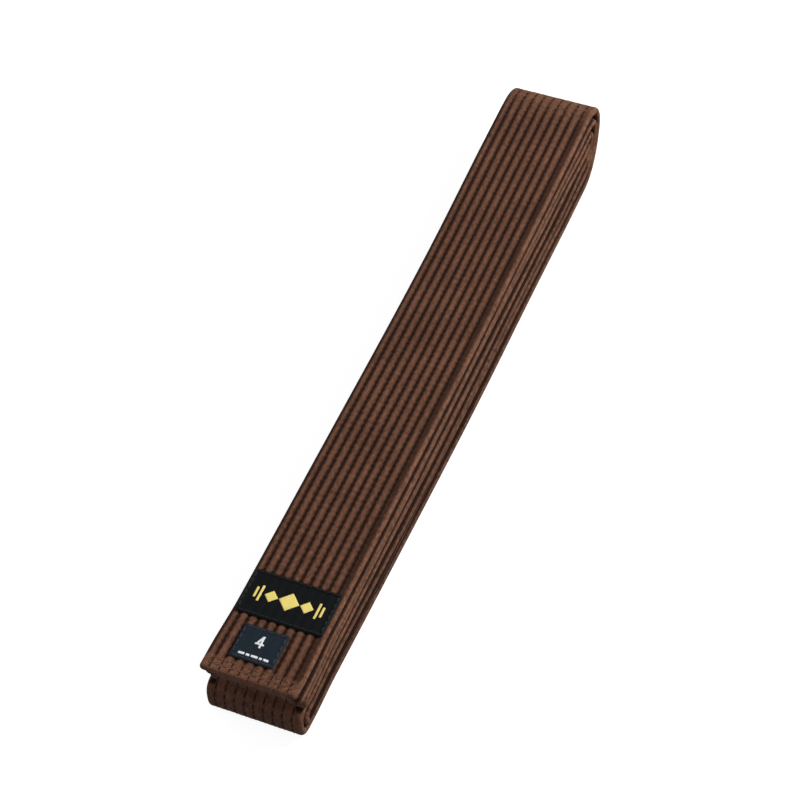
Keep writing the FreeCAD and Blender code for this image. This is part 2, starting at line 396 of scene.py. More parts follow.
@dataclass
class Packet:
    """The stack of eight runs as it lies, worked out from the frame.

    Pressed runs lie close and thick; where a gap holds two runs apart, all runs are a little thinner,
    so that the packet keeps its height. The far folds lean out at the top, and every fold is pressed
    squarer than a half circle.

    Attributes:
        rest_gap: Room between two runs that lie on each other.
        gaps: The looser places.
        near_shift: Sideways place of each run at its near end.
        middle_shift: The same halfway along.
        far_shift: The same at its far end.
        lean: How far the far fold's top stands out beyond its middle.
        far_inset: How far the far folds' middle stands back from the plain model's.
        near_outset: How far the lower near folds stand out from the plain model's.
        near_spread: Share by which the pressed near end spreads in width.
        far_spread: The same at the far end.
    """

    rest_gap: float = 0.34
    gaps: tuple[LooseGap, ...] = (
        LooseGap(4, 122.0, 2.3, 28.0),
        LooseGap(4, 156.0, 1.6, 9.0),
        LooseGap(2, 154.0, 0.4, 30.0),
        LooseGap(6, 152.0, 0.4, 26.0),
        LooseGap(6, -166.0, 2.6, 150.0),
        LooseGap(3, -170.0, 0.9, 26.0),
        LooseGap(4, -168.0, 0.6, 40.0),
        LooseGap(1, -175.0, 0.3, 40.0),
    )
    near_shift: tuple[float, ...] = (-0.5, 0.9, 1.0, 0.8, -1.0, -0.4, -0.7, -1.1)
    middle_shift: tuple[float, ...] = (0.0, 0.7, -0.1, 0.9, -0.3, 1.0, 0.5, 1.6)
    far_shift: tuple[float, ...] = (-2.1, -1.2, -0.7, -0.2, -2.2, -1.0, -0.2, 0.6)
    lean: float = 7.0
    far_inset: float = 4.0
    near_outset: float = 2.2
    near_spread: float = 0.03
    far_spread: float = 0.04

    def __post_init__(self) -> None:
        """Reads the packet's sizes from the CAD nodes."""
        bottom_low, bottom_high = node_box("cover_run_8")
        top_low, top_high = node_box("cover_label_end")
        self.width = top_high.x - top_low.x
        self.height = top_high.z - bottom_low.z
        self.label_end_y = top_low.y
        self.plain_end_y = node_box("cover_plain_end")[0].y
        self.far_y = bottom_high.y - self.far_inset
        self.lower_near_y = bottom_low.y - self.near_outset
        self.upper_near_y = node_box("cover_run_3")[0].y

    def gap(self, upper: int, y: np.ndarray) -> np.ndarray:
        """Room between a run and the one under it.

        Args:
            upper: The upper run's number.
            y: Places along the packet.

        Returns:
            The gap's height at each place.
        """
        room = np.full_like(y, self.rest_gap)
        for loose in self.gaps:
            if loose.upper == upper:
                room += loose.height * smooth(1 - np.abs(y - loose.place) / loose.reach)
        return room

    def thickness(self, y: np.ndarray) -> np.ndarray:
        """Thickness of every run at each place along the packet."""
        return (self.height - sum(self.gap(upper, y) for upper in range(1, RUNS))) / RUNS

    def middle(self, run: int, y: np.ndarray) -> np.ndarray:
        """Height of a run's middle line at each place along the packet."""
        thick = self.thickness(y)
        return (RUNS - run + 0.5) * thick + sum(self.gap(upper, y) for upper in range(run, RUNS))

    def far_end(self, run: int) -> float:
        """Where a run meets its far fold, which leans out at the top."""
        middle = float(self.middle(run, np.array([self.far_y]))[0])
        return self.far_y + self.lean * (2 * middle / self.height - 1)

    def shift(self, run: int, y: np.ndarray) -> np.ndarray:
        """Sideways place of a run's middle line, through its three places, with a slight waver."""
        along = np.clip((y - self.label_end_y) / (self.far_y - self.label_end_y), 0, 1)
        near, far = self.near_shift[run - 1], self.far_shift[run - 1]
        bow = self.middle_shift[run - 1] - (near + far) / 2
        waver = 0.2 * np.sin(math.pi * along) * np.sin(9.0 * along + 1.9 * run)
        return near + (far - near) * along + 4 * bow * along * (1 - along) + waver

    def spread(self, y: np.ndarray) -> np.ndarray:
        """Share of the belt's width that it takes up at each place along the packet."""
        near = self.near_spread * smooth((self.label_end_y + 34 - y) / 24)
        return 1 + near + self.far_spread * smooth((y - 50) / 100)


@dataclass(frozen=True)
class Lie:
    """A straight leg of the belt: it lies as a run from start to end, places along the packet."""

    run: int
    start: float
    end: float


@dataclass(frozen=True)
class Turn:
    """A half turn of the belt from one run to another at an end of the packet.

    Attributes:
        first: The run that it comes from.
        second: The run that it goes to.
        end: The end of the packet.
        start: Place along the packet where the first run meets it.
        finish: Place where the second run leaves it.
        square: 2 for a half circle, more for one that is pressed flatter.
    """

    first: int
    second: int
    end: PacketEnd
    start: float
    finish: float
    square: float = 2.5


@dataclass
class Course:
    """The middle line of a stretch of belt, one value per station.

    Attributes:
        x: Place across the packet.
        y: Place along the packet.
        z: Height.
        thick: Thickness of the belt.
        wide: Share of its width that it takes up.
        heading: Direction of travel in the YZ plane, in radians, 0 towards +Y.
        curl: Turn per millimetre, positive where the labelled face is inside.
        relief: Share of the ribs' full relief, less where a turned-in end is sewn flat.
        length: Distance along the belt from its labelled end.
    """

    x: np.ndarray
    y: np.ndarray
    z: np.ndarray
    thick: np.ndarray
    wide: np.ndarray
    heading: np.ndarray
    curl: np.ndarray
    relief: np.ndarray
    length: np.ndarray

    def at(self, length: np.ndarray) -> "Course":
        """The course at other distances along the belt."""
        names = ("x", "y", "z", "thick", "wide", "heading", "curl", "relief")
        return Course(*(np.interp(length, self.length, getattr(self, name)) for name in names), length)

    def points(self, across: np.ndarray, out: np.ndarray) -> np.ndarray:
        """Places beside and above the middle line.

        Args:
            across: Distance across the belt, one row per station or the same for all.
            out: Distance out of the labelled face, shaped as across.

        Returns:
            An array of stations by places by XYZ, in millimetres.
        """
        shape = (len(self.y), np.broadcast(across, out).shape[-1])
        across, out = np.broadcast_to(across, shape), np.broadcast_to(out, shape)
        sine, cosine = np.sin(self.heading)[:, None], np.cos(self.heading)[:, None]
        x = self.x[:, None] + across * self.wide[:, None]
        return np.stack((x, self.y[:, None] - sine * out, self.z[:, None] + cosine * out), axis=-1)


@dataclass
class CourseMaker:
    """Joins legs and turns into courses, in order along the belt."""

    packet: Packet
    heading: float = 0.0
    length: float = 0.0
    smoothing: float = 6.0

    def course(self, legs: Sequence[Lie | Turn], spacing: float) -> Course:
        """Follows the next legs of the belt.

        Args:
            legs: The legs in order.
            spacing: Distance between stations on straight legs.

        Returns:
            The course over all the legs.
        """
        parts = [self._lie(leg, spacing) if isinstance(leg, Lie) else self._turn(leg) for leg in legs]
        joined = [np.concatenate([part[i] for part in parts]) for i in range(4)]
        keep = np.concatenate(([True], np.hypot(np.diff(joined[1]), np.diff(joined[2])) > 1e-3))
        x, y, z, thick = (values[keep] for values in joined)
        length = self.length + np.concatenate(([0.0], np.cumsum(np.hypot(np.diff(y), np.diff(z)))))
        self.length = float(length[-1])
        heading = np.unwrap(np.arctan2(np.gradient(z, length), np.gradient(y, length)))
        heading += 2 * math.pi * round((self.heading - heading[0]) / (2 * math.pi))
        self.heading = float(heading[-1])
        curl = np.gradient(heading, length)
        window = np.exp(-((length[:, None] - length[None, :]) / self.smoothing) ** 2)
        curl = (window @ curl) / window.sum(axis=1)
        return Course(x, y, z, thick, self.packet.spread(y), heading, curl, np.ones_like(y), length)

    def _lie(self, leg: Lie, spacing: float) -> list[np.ndarray]:
        """Stations of a straight leg."""
        count = max(2, round(abs(leg.end - leg.start) / spacing) + 1)
        y = np.linspace(leg.start, leg.end, count)
        return [self.packet.shift(leg.run, y), y, self.packet.middle(leg.run, y), self.packet.thickness(y)]

    def _turn(self, leg: Turn) -> list[np.ndarray]:
        """Stations of a half turn, which is squarer than a half circle and may lean."""
        packet, ends = self.packet, ((leg.first, leg.start), (leg.second, leg.finish))
        first, second = (float(packet.middle(run, np.array([y]))[0]) for run, y in ends)
        radius, middle = abs(second - first) / 2, (first + second) / 2
        angle = np.linspace(0, math.pi, max(16, round(math.pi * radius)) + 1)
        cosine = np.cos(angle)
        down = np.sign(cosine) * np.abs(cosine) ** (2 / leg.square)
        up = middle + (first - second) / 2 * down
        along = leg.start + (leg.finish - leg.start) * (1 - down) / 2
        along += leg.end.value * radius * np.sin(angle) ** (2 / leg.square)
        share = angle / math.pi
        shift = [float(packet.shift(run, np.array([y]))[0]) for run, y in ends]
        thick = [float(packet.thickness(np.array([y]))[0]) for _, y in ends]
        shift, thick = (pair[0] + (pair[1] - pair[0]) * share for pair in (shift, thick))
        return [shift, along, up, thick]


@dataclass(frozen=True)
class Quilting:
    """The belt's section: rows of stitching pull its two faces together into ribs.

    Attributes:
        rows: Number of stitch rows.
        pitch: Distance between rows.
        depth: How far a row pulls each face in.
        edge: Width over which the selvage rounds off.
        stitch: Length of one stitch and its gap.
        gap: The part of it where the thread is inside the belt.
        pucker: Extra pull at the middle of each stitch.
        nominal: The thickness of belt that depth and pucker are given for.
        fullness: Share of the thickness by which a crest lies below its fullest.
        swells: Height, wavelength and step from rib to rib of each slow swell along a rib.
    """

    rows: int = 9
    pitch: float = 4.0
    depth: float = 0.92
    edge: float = 1.9
    stitch: float = 3.0
    gap: float = 0.75
    pucker: float = 0.3
    nominal: float = 4.1
    fullness: float = 0.13
    swells: tuple[tuple[float, float, float], ...] = ((0.07, 3.7, 2.1), (0.06, 1.9, 4.4))
    rib_steps: tuple[float, ...] = (0.2, 0.5, 0.95, 1.5, 2.0, 2.5, 3.05, 3.5, 3.8, 4.0)
    edge_steps: tuple[float, ...] = (0.0, 0.05, 0.2, 0.45, 0.85, 1.35, 1.9)

    def row_places(self) -> np.ndarray:
        """Place of each stitch row across the belt."""
        return (np.arange(self.rows) - (self.rows - 1) / 2) * self.pitch

    def places(self, width: float) -> np.ndarray:
        """Places across one face, from selvage to selvage, closest in the grooves and at the edges."""
        half, rows = width / 2, self.row_places()
        outer = [-half + step for step in self.edge_steps]
        inner_edge = outer[-1] + 0.1
        outer += [rows[0] - step for step in (1.5, 0.95, 0.5, 0.2, 0.0) if rows[0] - step > inner_edge]
        inner = [row + step for row in rows[:-1] for step in self.rib_steps]
        return np.array(outer + inner + [-place for place in reversed(outer[:-1])])

    def groove(self, x: np.ndarray) -> np.ndarray:
        """How near a place is to a stitch row: 1 on the row, 0 on a rib's crest."""
        away = np.abs(x[..., None] - self.row_places()).min(axis=-1)
        return (1 - np.minimum(away / (self.pitch / 2), 1)) ** 1.8

    def stitched(self, length: np.ndarray) -> np.ndarray:
        """How hard the thread pulls at each distance along the belt, from 0 to 1 at a stitch's middle."""
        return 0.5 - 0.5 * np.cos(2 * math.pi * length / self.stitch)

    def crown(self, x: np.ndarray, width: float) -> np.ndarray:
        """Share of the belt's thickness that is left where the selvages round off."""
        inset = np.clip((width / 2 - np.abs(x)) / self.edge, 0, 1)
        return np.sqrt(np.maximum(1 - (1 - inset) ** 2, 0))

    def margin_shade(self, x: np.ndarray, width: float) -> np.ndarray:
        """How much painted shade darkens the right plain margin and the rounded left selvage."""
        inset = width / 2 - np.abs(x)
        margin = 0.5 * (x > 0) * smooth((x - self.row_places()[-1]) / 1.2) * smooth((inset - 0.4) / 1.0)
        return np.maximum(margin, (x < 0) * smooth(1.5 - inset / 1.6))

    def ease(self, course: Course, face: int) -> np.ndarray:
        """Share of the ribs' full relief on one face at each station, as a column.

        Outside a turn the cloth is drawn tight and the ribs flatten; inside it they deepen.
        """
        strain = face * course.curl * course.thick / 2
        share = np.where(strain < 0, 1 / (1 - 9 * strain), 1 + 0.25 * np.minimum(strain, 1))
        return (share * course.relief)[:, None]

    def height(self, x: np.ndarray, course: Course, face: int, width: float) -> np.ndarray:
        """Height of one of the belt's faces over its middle line.

        Args:
            x: Places across the belt.
            course: The stations.
            face: 1 for the labelled face, -1 for the other.
            width: The belt's width.

        Returns:
            Heights, stations by places.
        """
        thick, length = course.thick[:, None], course.length[:, None]
        ease = self.ease(course, face)
        inset = np.clip((width / 2 - np.abs(x)) / self.edge, 0, 1)
        groove = self.groove(x)
        rib = np.round(x / self.pitch + 0.5)
        swell = sum(high * np.sin(length / wave + step * rib) for high, wave, step in self.swells)
        pull = groove * self.depth + groove ** 0.7 * self.pucker * self.stitched(length)
        pull = pull * ease * thick / self.nominal
        margin = (self.fullness - swell * ease) * (1 - groove) * inset
        return self.crown(x, width) * (thick / 2 - pull - margin)


def mesh_object(name: str, points: np.ndarray, faces: Sequence[Sequence[int]], slot: Slot,
                wardrobe: Wardrobe, flat: Sequence[bool] | None = None) -> bpy.types.Object:
    """Makes a mesh piece and dresses it.

    Args:
        name: The piece's name.
        points: Its vertices, in millimetres.
        faces: Its faces.
        slot: The material slot that it takes its finish from.
        wardrobe: Holds the materials.
        flat: For each face, whether it is shaded flat.

    Returns:
        The new object, linked to the scene.
    """
    mesh = bpy.data.meshes.new(name)
    mesh.from_pydata((points.reshape(-1, 3) * MM).tolist(), [], faces)
    smooth_faces = [True] * len(faces) if flat is None else [not value for value in flat]
    mesh.polygons.foreach_set("use_smooth", smooth_faces)
    if flat is not None and not all(flat):
        rims = {key for face, value in zip(mesh.polygons, flat) if value for key in face.edge_keys}
        mesh.edges.foreach_set("use_edge_sharp", [tuple(edge.key) in rims for edge in mesh.edges])
    mesh.materials.append(wardrobe.material(slot))
    mesh.update()
    piece = bpy.data.objects.new(name, mesh)
    bpy.context.scene.collection.objects.link(piece)
    LOG.info("%s: %d faces", name, len(faces))
    return piece


def add_values(piece: bpy.types.Object, name: str, values: np.ndarray) -> None:
    """Stores one number per vertex for the materials to read."""
    attribute = piece.data.attributes.new(name, "FLOAT", "POINT")
    attribute.data.foreach_set("value", values.astype(np.float32).ravel())


def add_belt_coordinates(piece: bpy.types.Object, across: np.ndarray, along: np.ndarray) -> None:
    """Stores each vertex's place on the flat belt, in metres, as the UV map that the weave follows."""
    loops = np.zeros(len(piece.data.loops), np.int32)
    piece.data.loops.foreach_get("vertex_index", loops)
    layer = piece.data.uv_layers.new(name="belt")
    values = np.stack((across.ravel()[loops], along.ravel()[loops]), axis=-1) * MM
    layer.data.foreach_set("uv", values.astype(np.float32).ravel())


def tube_faces(stations: int, ring: int) -> list[tuple[int, ...]]:
    """Quads between neighbouring rings of a closed tube, facing out."""
    faces = []
    for i in range(stations - 1):
        low, high = i * ring, (i + 1) * ring
        faces += [(low + j, high + j, high + (j + 1) % ring, low + (j + 1) % ring) for j in range(ring)]
    return faces


@dataclass(frozen=True)
class Hold:
    """What holds a piece of the belt: one body, or two with a bend between them.

    Attributes:
        first: The body it rides on, or the one before the bend.
        second: The body after the bend, if it bends; such a piece rides on neither.
        start: Where the bend starts, in millimetres; not used.
        end: Where the bend ends; not used.
    """

    first: Body
    second: Body | None = None
    start: Vector | None = None
    end: Vector | None = None

    def take(self, piece: bpy.types.Object) -> None:
        """Makes the piece ride on its body; a piece that would bend is only baked in place."""
        if self.second is None:
            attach(piece, self.first.value)
        else:
            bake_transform(piece)


@dataclass(frozen=True)
class Stretch:
    """One piece of the belt between two places where it is cut for the joints.

    Attributes:
        name: What the stretch is called.
        legs: Its legs in order along the belt.
        hold: The body or bodies that it moves with.
        covers: The CAD nodes that its cover stands for.
        cores: The CAD nodes that its plies stand for.
        threads: The CAD nodes that its quilting stands for.
        spacing: Distance between stations on straight legs.
        closed: Whether its start or end is a turned-in belt end, as -1, 0 or 1.
    """

    name: str
    legs: tuple[Lie | Turn, ...]
    # hold: The body that it rides on, or the two bodies of a bend, which it does not follow.
    hold: Hold
    covers: tuple[str, ...]
    cores: tuple[str, ...]
    threads: tuple[str, ...]
    spacing: float = 2.0
    closed: int = 0


@dataclass
class BeltStrap:
    """The quilted belt: its cover, its core plies and its rows of stitching, stretch by stretch.

    Attributes:
        cover_wall: Depth of each face that the plies keep clear of, so that no groove reaches them.
        stub: Length of straight belt that a turn's piece takes with it.
        tip: Distance over which a turned-in end rounds off.
        bend_lead: How far before a joint's axis its bend starts.
        label_cut: Where run 1 is cut behind the labelled end's bend.
        plain_cut: Where runs 1 and 2 are cut behind the plain end's bend.
        open_gap: Height of gap that counts as open, with painted shadow on the selvages inside it.
    """

    packet: Packet
    wardrobe: Wardrobe
    quilting: Quilting = field(default_factory=Quilting)
    plies: int = 3
    cover_wall: float = 1.4
    thread_half_width: float = 0.24
    thread_rise: float = 0.16
    fine: float = 0.8
    middling: float = 1.2
    coarse: float = 2.2
    stub: float = 4.0
    tip: float = 1.3
    closing_insets: tuple[float, ...] = (2.6, 5.0)
    closing_pull: float = 0.16
    closing_reach: float = 0.55
    core_inset: float = 1.5
    core_margin: float = 1.6
    ply_gap: float = 0.06
    bend_lead: float = 5.0
    label_cut: float = 111.0
    plain_cut: float = 180.0
    groove_shade: float = 0.72
    stitch_shade: float = 0.4
    between_runs_shade: float = 0.85
    low_shade: float = 0.3
    open_gap: float = 1.0
    courses: dict[str, Course] = field(default_factory=dict)

    def stretches(self) -> list[Stretch]:
        """All stretches in order along the belt, from the labelled end to the plain end."""
        packet, stub = self.packet, self.stub
        start, far = packet.label_end_y, {run: packet.far_end(run) for run in range(1, RUNS + 1)}
        label_cut, plain_cut = start + self.label_cut, start + self.plain_cut
        lower, upper = packet.lower_near_y, packet.upper_near_y
        near_end, far_end = PacketEnd.NEAR, PacketEnd.FAR
        return [
            Stretch("labelled_end", (Lie(1, start, label_cut),),
                    self._lift("label_end_lift", Body.PLAIN_END, Body.LABEL_END, "cover_label_bend"),
                    ("cover_label_end", "cover_label_bend"), ("core_label_end", "core_label_bend"),
                    ("stitching_label_end", "stitching_label_bend"), self.fine, -1),
            Stretch("top_middle", (Lie(1, label_cut, plain_cut),),
                    self._lift("plain_end_lift", Body.UPPER, Body.PLAIN_END, "cover_plain_bend_run_1"),
                    ("cover_run_1_middle", "cover_plain_bend_run_1"), ("core_run_1_middle",),
                    ("stitching_plain_end",), self.fine),
            Stretch("outer_loop",
                    (Lie(1, plain_cut, far[1]), Turn(1, 8, far_end, far[1], far[8]),
                     Lie(8, far[8], lower + stub)),
                    self._loop(1, 8, lower), ("cover_run_1_far", "cover_far_fold_1_8", "cover_run_8"),
                    ("core_run_1_far", "core_run_8", "core_far_folds"),
                    ("stitching_upper_runs", "stitching_far_folds", "stitching_lower_runs"), self.middling),
            Stretch("near_turn_outer",
                    (Lie(8, lower + stub, lower), Turn(8, 5, near_end, lower, lower, 3.2),
                     Lie(5, lower, far[5] - stub)),
                    Hold(Body.LOWER), ("cover_near_fold_outer", "cover_run_5"),
                    ("core_near_folds_lower", "core_run_5"), ("stitching_near_folds_lower",), self.coarse),
            Stretch("innermost_turn",
                    (Lie(5, far[5] - stub, far[5]), Turn(5, 4, far_end, far[5], far[4], 2.0),
                     Lie(4, far[4], far[4] - stub)),
                    self._loop(4, 5, far[5] - stub), ("cover_far_fold_4_5",), (), (), 1.0),
            Stretch("near_turn_upper",
                    (Lie(4, far[4] - stub, upper), Turn(4, 3, near_end, upper, upper, 2.2),
                     Lie(3, upper, upper + stub)),
                    Hold(Body.UPPER), ("cover_run_4", "cover_near_fold_upper"),
                    ("core_run_4", "core_near_fold_upper"), ("stitching_near_fold_upper",), self.coarse),
            Stretch("middle_loop",
                    (Lie(3, upper + stub, far[3]), Turn(3, 6, far_end, far[3], far[6]),
                     Lie(6, far[6], lower + stub)),
                    self._loop(3, 6, lower), ("cover_run_3", "cover_far_fold_3_6", "cover_run_6"),
                    ("core_run_3", "core_run_6"), (), self.coarse),
            Stretch("near_turn_inner",
                    (Lie(6, lower + stub, lower), Turn(6, 7, near_end, lower, lower, 2.4),
                     Lie(7, lower, lower + stub)),
                    Hold(Body.LOWER), ("cover_near_fold_inner",), (), (), self.coarse),
            Stretch("second_loop",
                    (Lie(7, lower + stub, far[7]), Turn(7, 2, far_end, far[7], far[2]),
                     Lie(2, far[2], plain_cut)),
                    self._loop(2, 7, lower), ("cover_run_7", "cover_far_fold_2_7", "cover_run_2_far"),
                    ("core_run_7", "core_run_2_far"), (), self.coarse),
            Stretch("plain_end", (Lie(2, plain_cut, packet.plain_end_y),),
                    self._lift("plain_end_lift", Body.UPPER, Body.PLAIN_END, "cover_plain_bend_run_2"),
                    ("cover_plain_end", "cover_plain_bend_run_2"), ("core_plain_end", "core_plain_bend"),
                    ("stitching_plain_bend",), self.middling, 1),
        ]

    def build(self) -> None:
        """Builds every stretch with its core and stitching."""
        maker = CourseMaker(self.packet)
        for stretch in self.stretches():
            course = maker.course(stretch.legs, stretch.spacing)
            tip = self.tip_length(stretch, course)
            if tip is not None:
                course.relief = 1 - 0.8 * smooth((9.0 - np.abs(course.length - tip)) / 5.0)
            self.courses[stretch.name] = course
            cover = self._cover(stretch, course)
            core = self._core(stretch, course)
            threads = self._stitching(stretch, course)
            for piece, nodes in ((cover, stretch.covers), (core, stretch.cores), (threads, stretch.threads)):
                if nodes:
                    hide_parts(*nodes)
                stretch.hold.take(piece)
        LOG.info("belt length %.0f mm", maker.length)

    def _lift(self, joint: str, first: Body, second: Body, bend: str) -> Hold:
        """The bend behind an end that lifts, from bend_lead before the joint's axis."""
        axis = joint_place(joint)
        start = Vector((axis.x, axis.y + self.bend_lead, axis.z))
        return Hold(first, second, start, Vector((axis.x, node_box(bend)[0].y, axis.z)))

    def _loop(self, upper: int, lower: int, from_y: float) -> Hold:
        """The far fold between two runs: it turns between the lower run's top and the upper one's
        underside, measured from from_y to the fold.
        """
        y = np.linspace(from_y, self.packet.far_y, 60)
        half = self.packet.thickness(y) / 2
        top_of_lower = float((self.packet.middle(lower, y) + half).max())
        foot_of_upper = float((self.packet.middle(upper, y) - half).min())
        return Hold(Body.LOWER, Body.UPPER, Vector((0, self.packet.far_y, top_of_lower)),
                    Vector((0, self.packet.far_y, foot_of_upper)))

    def end_share(self, course: Course, tip: float | None) -> np.ndarray:
        """Share of the belt's full thickness at each station.

        The turned-in end rounds off, and the rows of stitches that close it pull it in.

        Args:
            course: The stations.
            tip: Distance along the belt of its end, or None if the stretch has none.

        Returns:
            The share as a column.
        """
        if tip is None:
            return np.ones((len(course.length), 1))
        inward = np.abs(course.length - tip)
        over = 1 - np.clip(inward / self.tip, 0, 1)
        pulled = sum(np.exp(-((inward - inset) / self.closing_reach) ** 2) for inset in self.closing_insets)
        return ((0.5 + 0.5 * np.sqrt(1 - over ** 2)) * (1 - self.closing_pull * pulled))[:, None]

    def tip_length(self, stretch: Stretch, course: Course) -> float | None:
        """Distance along the belt of the turned-in end that a stretch has, if any."""
        if stretch.closed == 0:
            return None
        return float(course.length[0] if stretch.closed < 0 else course.length[-1])

    def _cover(self, stretch: Stretch, course: Course) -> bpy.types.Object:
        """Builds the ribbed woven tube of one stretch, closed across both ends."""
        tip = self.tip_length(stretch, course)
        if tip is not None:
            near_tip = tip - stretch.closed * np.array([0.08, 0.25, 0.5, 0.85, 1.2, 2.2, 2.6, 3.0, 4.6, 5.0])
            course = course.at(np.unique(np.concatenate((course.length, near_tip))))
            over = 1 - np.clip(np.abs(course.length - tip) / self.tip, 0, 1)
            course.wide = course.wide * (1 - 0.035 * over ** 2)
        x, width = self.quilting.places(self.packet.width), self.packet.width
        full = self.end_share(course, tip)
        upper = self.quilting.height(x, course, 1, width) * full
        lower = self.quilting.height(x, course, -1, width) * full
        across = np.concatenate((x, x[-2:0:-1]))
        out = np.concatenate((upper, -lower[:, -2:0:-1]), axis=1)
        points = course.points(across[None, :], out)
        stations, ring, count = len(course.length), len(across), len(x)
        faces = [tuple(reversed(face)) for face in tube_faces(stations, ring)]
        tube = len(faces)
        for base, turned in ((0, True), ((stations - 1) * ring, False)):
            for j in range(count - 1):
                cap = dict.fromkeys((base + j, base + j + 1, base + ring - j - 1, base + (ring - j) % ring))
                faces.append(tuple(reversed(cap)) if turned else tuple(cap))
        piece = mesh_object(f"belt_cover_{stretch.name}", points, faces, Slot.COVER, self.wardrobe,
                            [index >= tube for index in range(len(faces))])
        shape = (stations, ring)
        inset = (width / 2 - np.abs(across)) / self.quilting.edge
        rub = np.clip(1 - inset, 0, 1) ** 0.6 + np.zeros((stations, 1))
        if tip is not None:
            rub = np.maximum(rub, 1.4 * np.clip(1 - full, 0, 0.7))
        ease = np.concatenate((np.repeat(self.quilting.ease(course, 1), count, axis=1),
                               np.repeat(self.quilting.ease(course, -1), ring - count, axis=1)), axis=1)
        # Painted shade in the quilted grooves, deeper where each stitch pulls the groove in.
        stitched = self.groove_shade + self.stitch_shade * self.quilting.stitched(course.length)[:, None]
        # Painted shade on the right plain margin and round the left selvage.
        dark = np.maximum(self.quilting.groove(across) * stitched, self.quilting.margin_shade(across, width))
        dark = dark * np.minimum(ease, 1)
        # Painted shade on the sides of the stack, where the runs lie against each other.
        dark = np.maximum(dark, self._painted_side_shade(across, course, points))
        # The "groove" value holds all of this painted shade.
        add_values(piece, "groove", dark)
        add_values(piece, "rub", rub * (1 - np.minimum(dark, 1)))
        along = np.broadcast_to(course.length[:, None], shape)
        add_belt_coordinates(piece, np.broadcast_to(across, shape), along)
        return piece

    def _painted_side_shade(self, across: np.ndarray, course: Course, points: np.ndarray) -> np.ndarray:
        """Painted shade on the selvages' shoulders where they lie against the next run, towards the floor
        and inside open gaps.

        Args:
            across: Places across the belt, round the ring.
            course: The stations.
            points: The cover's vertices.

        Returns:
            Darkness, stations by places, 0 on the packet's top and round the folds.
        """
        selvage = smooth((4.6 - (self.packet.width / 2 - np.abs(across))) / 2.0)[None, :]
        shoulder = smooth((self.quilting.crown(across, self.packet.width) - 0.5) / 0.35)
        inside = smooth((self.packet.height - 0.45 * course.thick[:, None] - points[..., 2]) / 0.8)
        straight = smooth((np.abs(np.cos(course.heading)) - 0.75) / 0.2)[:, None]
        # Painted shade, darker towards the floor.
        low = self.low_shade * smooth((0.6 - points[..., 2] / self.packet.height) / 0.3)
        # Painted shade on each shoulder that lies against the next run.
        dark = np.maximum(self.between_runs_shade * shoulder * inside, low)
        # Painted shadow on the selvages inside each open gap.
        for loose in self.packet.gaps:
            if loose.height > self.open_gap:
                foot = self.packet.middle(loose.upper + 1, course.y)[:, None]
                head = (self.packet.middle(loose.upper, course.y) - 0.2 * course.thick)[:, None]
                here = smooth(1.4 - np.abs(course.y - loose.place) / loose.reach)[:, None]
                above = smooth((points[..., 2] - foot) / 0.5)
                below = smooth((head - points[..., 2]) / 0.5)
                dark = np.maximum(dark, here * above * below)
        return selvage * straight * dark

    def _core(self, stretch: Stretch, course: Course) -> bpy.types.Object:
        """Builds the batting plies inside one stretch, each a closed flat strip."""
        low, high = course.length[0], course.length[-1]
        low += self.core_inset * (stretch.closed < 0)
        high -= self.core_inset * (stretch.closed > 0)
        turning = np.abs(np.gradient(course.heading)) > 0.01
        keep = turning | (np.arange(len(turning)) % 4 == 0)
        inside = course.length[keep & (course.length > low) & (course.length < high)]
        sparse = course.at(np.unique(np.concatenate(([low], inside, [high]))))
        half_width = self.packet.width / 2 - self.core_margin
        room = sparse.thick - 2 * self.cover_wall
        points, faces = [], []
        for ply in range(self.plies):
            bottom = -room / 2 + ply * room / self.plies + self.ply_gap / 2
            top = bottom + room / self.plies - self.ply_gap
            across = np.array([-half_width, half_width, half_width, -half_width])
            out = np.stack((top, top, bottom, bottom), axis=1)
            base = sum(len(part) for part in points)
            points.append(sparse.points(across[None, :], out).reshape(-1, 3))
            last = base + (len(sparse.length) - 1) * 4
            ring = [tuple(base + i for i in reversed(face)) for face in tube_faces(len(sparse.length), 4)]
            faces += ring + [(base, base + 1, base + 2, base + 3), (last + 3, last + 2, last + 1, last)]
        return mesh_object(f"core_plies_{stretch.name}", np.concatenate(points), faces, Slot.CORE,
                           self.wardrobe, [True] * len(faces))

    def _stitching(self, stretch: Stretch, course: Course) -> bpy.types.Object:
        """Builds every stitch of one stretch, in each row on both faces."""
        quilting = self.quilting
        low, high = course.length[0], course.length[-1]
        if stretch.closed < 0:
            low += quilting.gap
        if stretch.closed > 0:
            high -= quilting.gap
        first, last = math.floor(low / quilting.stitch), math.ceil(high / quilting.stitch)
        starts = np.arange(first, last + 1) * quilting.stitch + quilting.gap / 2
        ends = np.minimum(starts + quilting.stitch - quilting.gap, high)
        starts = np.maximum(starts, low)
        usable = ends - starts > 1.2
        starts, ends = starts[usable], ends[usable]
        shares = np.array([0.0, 0.18, 0.82, 1.0])
        dips = np.array([-0.3, 1.0, 1.0, -0.3])
        stations = starts[:, None] + (ends - starts)[:, None] * shares
        spine = course.at(stations.ravel())
        rows = quilting.row_places()
        share = self.end_share(spine, self.tip_length(stretch, course))
        rise = self.thread_rise * np.tile(dips, len(starts))[:, None]
        half = self.thread_half_width
        blocks = []
        for side in (1, -1):
            floor = quilting.height(rows, spine, side, self.packet.width) * share
            for index, row in enumerate(rows):
                base = floor[:, index:index + 1]
                across = np.array([[row - half, row, row + half, row]])
                out = np.concatenate((base + rise - 0.06, base + rise + 0.1, base + rise - 0.06,
                                      base + rise - 0.3), axis=1)
                blocks.append(spine.points(across, side * out).reshape(-1, 16, 3))
        points = np.concatenate(blocks)
        outward = [tuple(reversed(face)) for face in tube_faces(4, 4)] + [(0, 1, 2, 3), (15, 14, 13, 12)]
